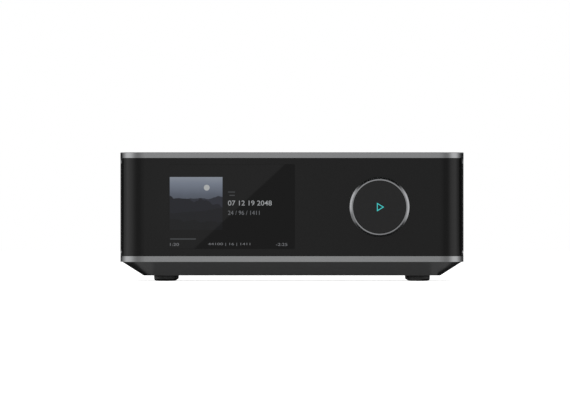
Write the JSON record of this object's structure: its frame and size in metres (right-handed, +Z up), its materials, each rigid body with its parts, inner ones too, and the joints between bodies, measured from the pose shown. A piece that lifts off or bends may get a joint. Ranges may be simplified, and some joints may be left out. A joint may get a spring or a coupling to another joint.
{
  "type": "streaming amplifier",
  "caption": "Compact streaming amplifier in an aluminium case with a wrap-round gloss front, a display, a volume ring with a play button, and speaker posts at the rear.",
  "frame": {"origin": "under the middle of the whole object, on the plane that the feet stand on", "axes": "+X to the right as seen from the front, +Y to the back, +Z up; the display faces -Y"},
  "size_m": [0.2, 0.2238, 0.0751],
  "materials": {
    "case_aluminium": "satin anodised dark grey",
    "fascia_glass": "black backed gloss glass",
    "inner_plastic": "matt black moulding",
    "base_paint": "fine matt dark grey paint",
    "foot_rubber": "matt black rubber",
    "ring_metal": "turned and anodised, bright chamfer",
    "button_face": "matt black anodised",
    "sign_light": "lit translucent insert",
    "steel_part": "plain steel",
    "screw_steel": "black oxide",
    "rear_plastic": "fine textured black",
    "display_glass": "display module",
    "circuit_board": "green solder mask",
    "bare_brass": "gold plated contact metal",
    "cap_red": "clear red over metal",
    "cap_black": "clear black over metal",
    "collar_plastic": "coloured moulding",
    "socket_plastic": "black moulding",
    "socket_steel": "tin plated sheet",
    "sheet_film": "clear amber film",
    "sink_aluminium": "extruded, bare",
    "coil_copper": "enamelled winding",
    "can_sleeve": "sleeved can",
    "winding_tape": "taped winding on a ferrite core",
    "wire_cover": "insulated wire",
    "ribbon_film": "amber film cable",
    "antenna_board": "black laminate with its lead"
  },
  "bodies": {
    "chassis": {"case_shell": "case_aluminium", "front_fascia": "fascia_glass", "front_frame": "inner_plastic", "base_tray": "base_paint", "foot_pads": "foot_rubber", "case_screws": "screw_steel", "rear_panel": "rear_plastic", "knob_bearing": "inner_plastic", "encoder_sensor": "inner_plastic", "push_switch": "steel_part", "knob_board": "circuit_board", "display_panel": "display_glass", "display_bracket": "steel_part", "front_screws": "screw_steel", "post_bases": "socket_plastic", "post_stems": "bare_brass", "speaker_tabs": "bare_brass", "phono_jacks": "bare_brass", "jack_collars": "collar_plastic", "trigger_jack": "socket_steel", "optical_socket": "socket_plastic", "hdmi_socket": "socket_steel", "usb_socket": "socket_steel", "network_socket": "socket_steel", "mains_inlet": "socket_plastic", "mains_pins": "steel_part", "amp_board": "circuit_board", "supply_board": "circuit_board", "main_board": "circuit_board", "board_pillars": "bare_brass", "board_screws": "screw_steel", "insulation_sheet": "sheet_film", "amp_heatsink": "sink_aluminium", "output_coils": "coil_copper", "amp_capacitors": "can_sleeve", "supply_transformer": "winding_tape", "bulk_capacitors": "can_sleeve", "radio_shield": "socket_steel", "processor_spreader": "sink_aluminium", "supply_harness": "wire_cover", "wifi_antennas": "antenna_board", "display_ribbon": "ribbon_film", "knob_ribbon": "ribbon_film"},
    "volume": {"volume_ring": "ring_metal", "encoder_wheel": "steel_part"},
    "button": {"play_button": "button_face", "play_sign": "sign_light", "button_clip": "steel_part", "switch_plunger": "inner_plastic"},
    "shutter": {"optical_shutter": "socket_plastic"},
    "setup": {"setup_button": "socket_plastic"},
    "washer_right_minus": {"washer_right_minus": "bare_brass"},
    "cap_right_minus": {"cap_right_minus": "cap_black"},
    "washer_right_plus": {"washer_right_plus": "bare_brass"},
    "cap_right_plus": {"cap_right_plus": "cap_red"},
    "washer_left_minus": {"washer_left_minus": "bare_brass"},
    "cap_left_minus": {"cap_left_minus": "cap_black"},
    "washer_left_plus": {"washer_left_plus": "bare_brass"},
    "cap_left_plus": {"cap_left_plus": "cap_red"}
  },
  "joints": [
    {"name": "volume_turn", "type": "hinge", "parent": "chassis", "child": "volume", "pos_m": [0.05096, -0.10515, 0.0432], "axis": [0, 1, 0], "continuous": true},
    {"name": "play_push", "type": "slide", "parent": "chassis", "child": "button", "axis": [0, 1, 0], "range_m": [0, 0.0008], "stiffness_N_per_m": 400, "springref_m": -0.001},
    {"name": "shutter_swing", "type": "hinge", "parent": "chassis", "child": "shutter", "pos_m": [0, 0.09355, 0.05135], "axis": [-1, 0, 0], "range_deg": [0, 80], "stiffness_Nm_per_rad": 0.0004, "springref_deg": -11.46},
    {"name": "setup_push", "type": "slide", "parent": "chassis", "child": "setup", "axis": [0, -1, 0], "range_m": [0, 0.0005], "stiffness_N_per_m": 300, "springref_m": -0.0008},
    {"name": "washer_travel_right_minus", "type": "slide", "parent": "chassis", "child": "washer_right_minus", "axis": [0, 1, 0], "range_m": [0, 0.004]},
    {"name": "cap_turn_right_minus", "type": "hinge", "parent": "washer_right_minus", "child": "cap_right_minus", "pos_m": [-0.07, 0.10485, 0.03], "axis": [0, 1, 0], "range_deg": [0, 1440]},
    {"name": "washer_travel_right_plus", "type": "slide", "parent": "chassis", "child": "washer_right_plus", "axis": [0, 1, 0], "range_m": [0, 0.004]},
    {"name": "cap_turn_right_plus", "type": "hinge", "parent": "washer_right_plus", "child": "cap_right_plus", "pos_m": [-0.051, 0.10485, 0.03], "axis": [0, 1, 0], "range_deg": [0, 1440]},
    {"name": "washer_travel_left_minus", "type": "slide", "parent": "chassis", "child": "washer_left_minus", "axis": [0, 1, 0], "range_m": [0, 0.004]},
    {"name": "cap_turn_left_minus", "type": "hinge", "parent": "washer_left_minus", "child": "cap_left_minus", "pos_m": [-0.028, 0.10485, 0.03], "axis": [0, 1, 0], "range_deg": [0, 1440]},
    {"name": "washer_travel_left_plus", "type": "slide", "parent": "chassis", "child": "washer_left_plus", "axis": [0, 1, 0], "range_m": [0, 0.004]},
    {"name": "cap_turn_left_plus", "type": "hinge", "parent": "washer_left_plus", "child": "cap_left_plus", "pos_m": [-0.009, 0.10485, 0.03], "axis": [0, 1, 0], "range_deg": [0, 1440]}
  ],
  "couplings": [
    {"joint": "cap_turn_right_minus", "follows": "washer_travel_right_minus", "rad_per_m": 6283.1},
    {"joint": "cap_turn_right_plus", "follows": "washer_travel_right_plus", "rad_per_m": 6283.1},
    {"joint": "cap_turn_left_minus", "follows": "washer_travel_left_minus", "rad_per_m": 6283.1},
    {"joint": "cap_turn_left_plus", "follows": "washer_travel_left_plus", "rad_per_m": 6283.1}
  ]
}
